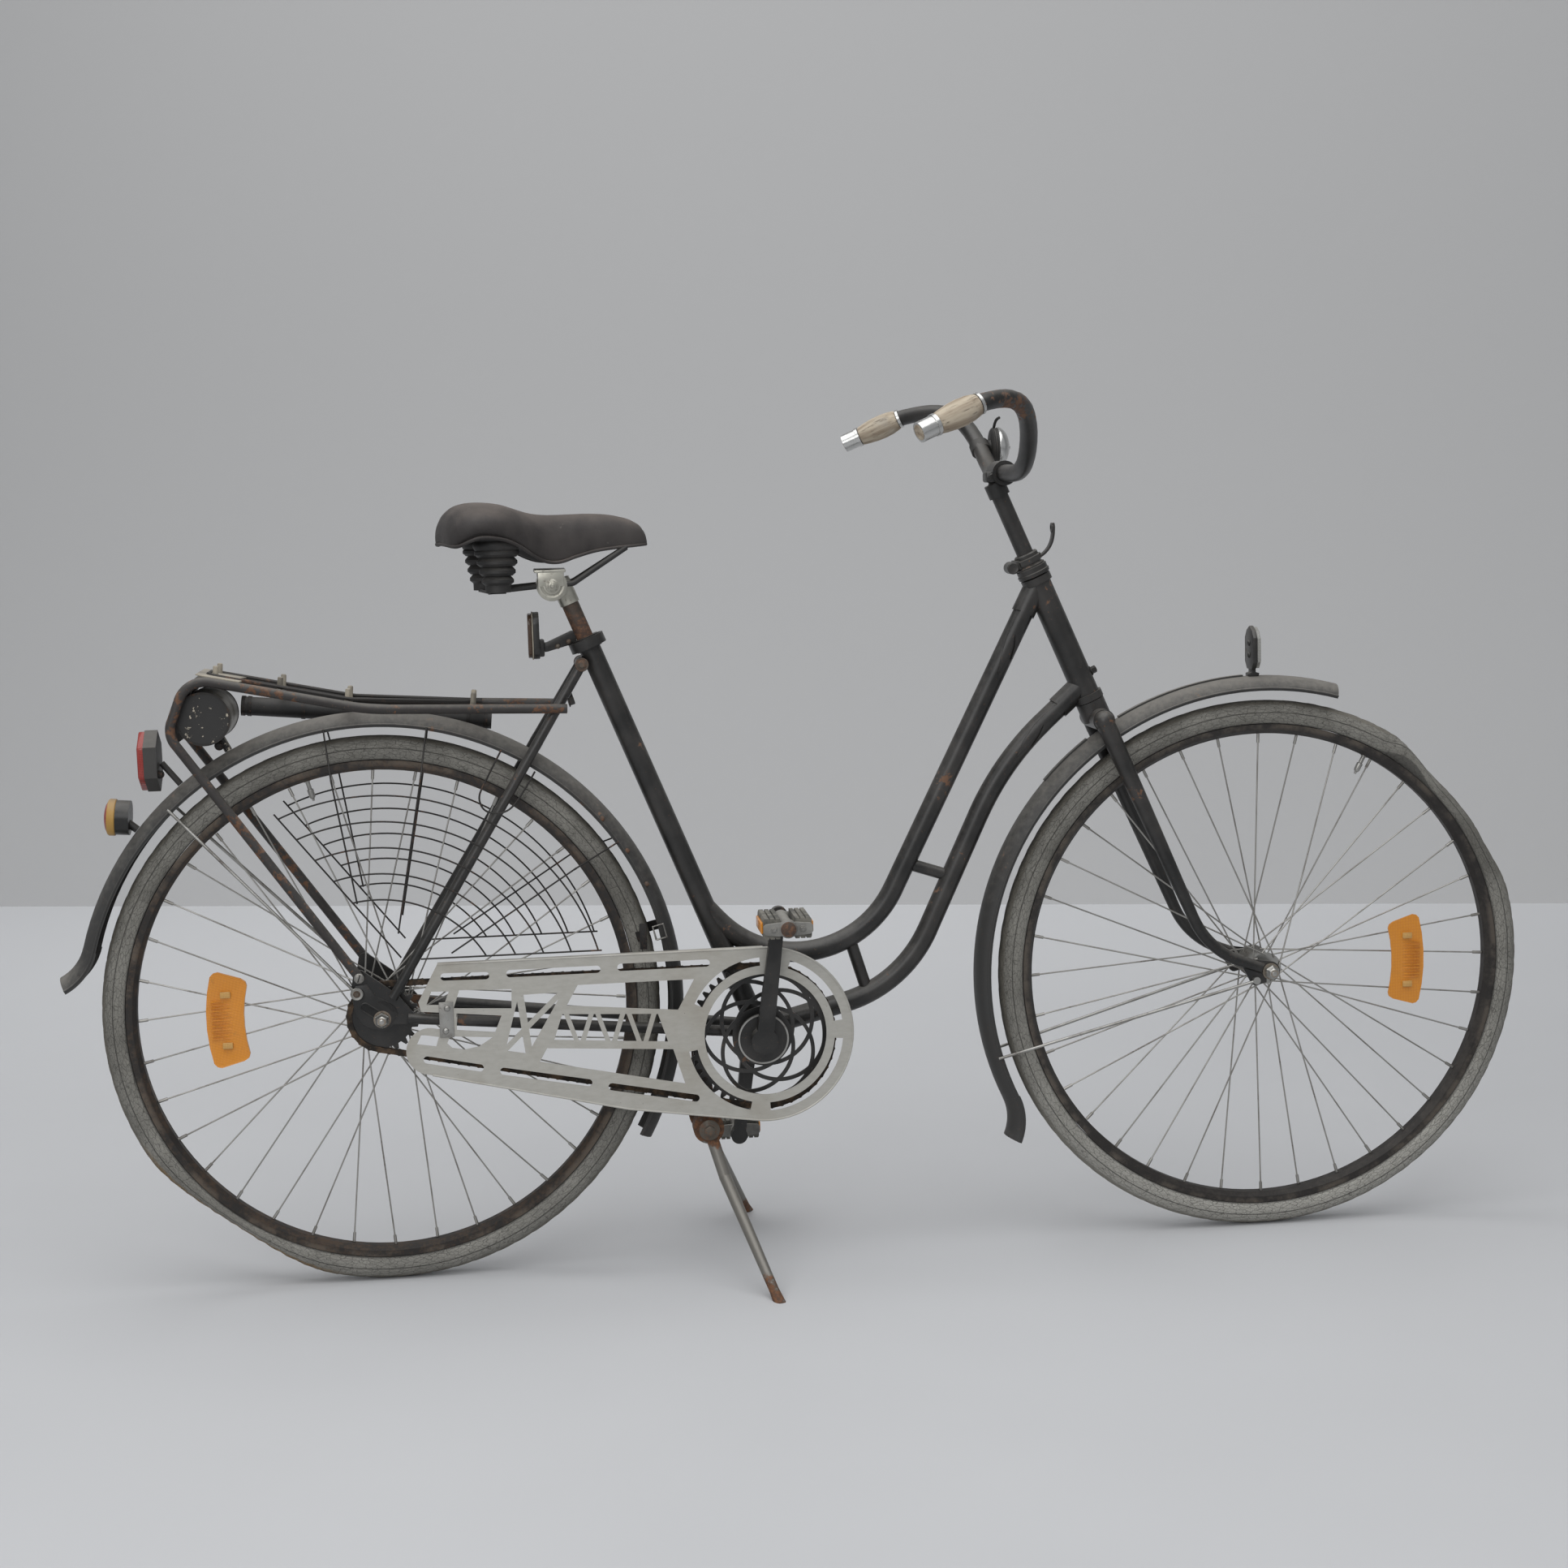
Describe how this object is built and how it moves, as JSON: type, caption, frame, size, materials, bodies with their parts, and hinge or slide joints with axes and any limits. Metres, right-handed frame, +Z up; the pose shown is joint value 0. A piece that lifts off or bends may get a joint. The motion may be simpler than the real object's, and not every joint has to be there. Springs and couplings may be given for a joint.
{
  "type": "bicycle",
  "caption": "Old black step-through bicycle on its centre stand, with skirt nets, pierced chain guard, carrier, wooden grips and sprung saddle",
  "frame": {"origin": "middle of the length and width, on the floor", "axes": "+X forward, +Y to the bicycle's left, +Z up"},
  "size_m": [1.9225, 0.6562, 1.123],
  "materials": {
    "black_paint": "worn",
    "steel": "worn",
    "rusty_rim": "rusted",
    "chain_steel": "oily",
    "guard_sheet": "dull",
    "grey_paint": "chipped",
    "tyre": "cracked",
    "pedal_rubber": "matte",
    "vinyl": "creased",
    "wood": "weathered",
    "amber_lens": "gloss",
    "red_lens": "gloss",
    "white_lens": "gloss"
  },
  "bodies": {
    "frame": {"seat_tube": "black_paint", "head_tube": "black_paint", "upper_tube": "black_paint", "lower_tube": "black_paint", "tube_braces": "black_paint", "head_lugs": "black_paint", "bottom_bracket": "black_paint", "chain_stays": "black_paint", "seat_stays": "black_paint", "rear_axle": "steel", "brake_arm": "black_paint", "rear_mudguard": "black_paint", "rear_guard_stays": "steel", "carrier_deck": "black_paint", "carrier_legs": "black_paint", "carrier_spring": "steel", "tool_can": "grey_paint", "pump": "black_paint", "skirt_net_left": "black_paint", "skirt_net_right": "black_paint", "chain_guard": "guard_sheet", "chain": "chain_steel", "seat_post": "steel", "saddle": "vinyl", "saddle_frame": "black_paint", "post_reflector": "amber_lens", "tail_reflector": "red_lens", "guard_reflector": "red_lens", "stand_bracket": "black_paint"},
    "steering": {"fork": "black_paint", "fork_collar": "black_paint", "stem": "black_paint", "handlebar": "black_paint", "grips": "wood", "ferrules": "steel", "bell": "steel", "front_mudguard": "black_paint", "front_guard_stays": "steel", "front_reflector": "white_lens", "front_axle": "steel"},
    "front_wheel": {"front_tyre": "tyre", "front_rim": "rusty_rim", "front_spokes": "steel", "front_hub": "steel", "front_spoke_reflector": "amber_lens"},
    "rear_wheel": {"rear_tyre": "tyre", "rear_rim": "rusty_rim", "rear_spokes": "steel", "rear_hub": "steel", "rear_spoke_reflector": "amber_lens"},
    "sprocket": {"sprocket": "chain_steel"},
    "crankset": {"crank_right": "steel", "crank_left": "steel", "chainring": "black_paint"},
    "pedal_right": {"pedal_right": "pedal_rubber"},
    "pedal_left": {"pedal_left": "pedal_rubber"},
    "stand": {"stand_legs": "steel"}
  },
  "joints": [
    {"name": "steering", "type": "hinge", "parent": "frame", "child": "steering", "pos_m": [0.37774, 0, 0.72106], "axis": [-0.3907, 0, 0.9205], "range_deg": [-70, 70]},
    {"name": "front_wheel_spin", "type": "hinge", "parent": "steering", "child": "front_wheel", "pos_m": [0.60527, 0, 0.356], "axis": [0, 1, 0], "continuous": true},
    {"name": "rear_wheel_spin", "type": "hinge", "parent": "frame", "child": "rear_wheel", "pos_m": [-0.55673, 0, 0.356], "axis": [0, 1, 0], "continuous": true},
    {"name": "sprocket_spin", "type": "hinge", "parent": "frame", "child": "sprocket", "pos_m": [-0.55673, 0, 0.356], "axis": [0, 1, 0], "continuous": true},
    {"name": "crank_spin", "type": "hinge", "parent": "frame", "child": "crankset", "pos_m": [-0.07273, 0, 0.305], "axis": [0, 1, 0], "continuous": true},
    {"name": "pedal_right_spin", "type": "hinge", "parent": "crankset", "child": "pedal_right", "pos_m": [-0.04977, 0, 0.46839], "axis": [0, 1, 0], "continuous": true},
    {"name": "pedal_left_spin", "type": "hinge", "parent": "crankset", "child": "pedal_left", "pos_m": [-0.0957, 0, 0.14161], "axis": [0, 1, 0], "continuous": true},
    {"name": "stand_fold", "type": "hinge", "parent": "frame", "child": "stand", "pos_m": [-0.14574, 0, 0.186], "axis": [0, 1, 0], "range_deg": [0, 95]}
  ],
  "couplings": [
    {"joint": "sprocket_spin", "follows": "crank_spin", "ratio": 2.1905}
  ]
}
